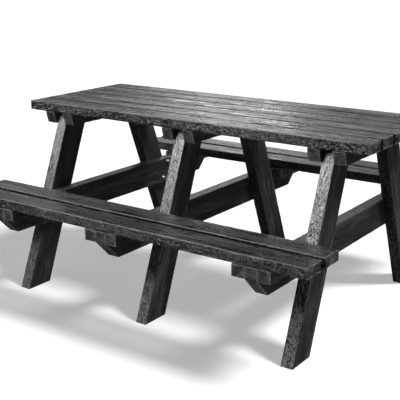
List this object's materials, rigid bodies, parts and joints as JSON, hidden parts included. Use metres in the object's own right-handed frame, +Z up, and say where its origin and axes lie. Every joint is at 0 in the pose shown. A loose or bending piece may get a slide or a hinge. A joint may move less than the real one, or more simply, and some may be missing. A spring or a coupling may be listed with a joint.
{
  "type": "picnic table",
  "caption": "A-frame picnic table with a bench attached along each side, made of near-black recycled plastic planks with a streaked, wood-like skin.",
  "frame": {"origin": "on the ground under the middle of the table", "axes": "+X along the tabletop and benches, +Y from the front bench to the rear bench, +Z up"},
  "size_m": [1.6, 1.4, 0.76],
  "materials": {
    "board_plastic": "near-black recycled plastic, streaked and pitted along the length, worn paler on the upper faces",
    "frame_plastic": "near-black recycled plastic, mottled and pitted, dull",
    "zinc_steel": "zinc-plated steel"
  },
  "bodies": {
    "root": {"cleat_screws": "zinc_steel", "left_front_cleat_left": "frame_plastic", "left_front_cleat_right": "frame_plastic", "left_front_leg": "frame_plastic", "left_rear_cleat_left": "frame_plastic", "left_rear_cleat_right": "frame_plastic", "left_rear_leg": "frame_plastic", "left_seat_bearer": "frame_plastic", "left_top_bearer_left": "frame_plastic", "left_top_bearer_right": "frame_plastic", "leg_coach_screw_washers": "zinc_steel", "leg_coach_screws": "zinc_steel", "middle_front_cleat_left": "frame_plastic", "middle_front_cleat_right": "frame_plastic", "middle_front_leg": "frame_plastic", "middle_rear_cleat_left": "frame_plastic", "middle_rear_cleat_right": "frame_plastic", "middle_rear_leg": "frame_plastic", "middle_seat_bearer": "frame_plastic", "middle_top_bearer_left": "frame_plastic", "middle_top_bearer_right": "frame_plastic", "right_front_cleat_left": "frame_plastic", "right_front_cleat_right": "frame_plastic", "right_front_leg": "frame_plastic", "right_rear_cleat_left": "frame_plastic", "right_rear_cleat_right": "frame_plastic", "right_rear_leg": "frame_plastic", "right_seat_bearer": "frame_plastic", "right_top_bearer_left": "frame_plastic", "right_top_bearer_right": "frame_plastic", "seat_board_front_inner": "board_plastic", "seat_board_front_outer": "board_plastic", "seat_board_rear_inner": "board_plastic", "seat_board_rear_outer": "board_plastic", "seat_screws": "zinc_steel", "tabletop_board_1": "board_plastic", "tabletop_board_2": "board_plastic", "tabletop_board_3": "board_plastic", "tabletop_board_4": "board_plastic", "tabletop_board_5": "board_plastic", "tabletop_board_6": "board_plastic", "tabletop_screws": "zinc_steel", "top_bearer_bolts": "zinc_steel", "top_bearer_nuts": "zinc_steel", "top_bearer_washers": "zinc_steel"}
  },
  "joints": []
}
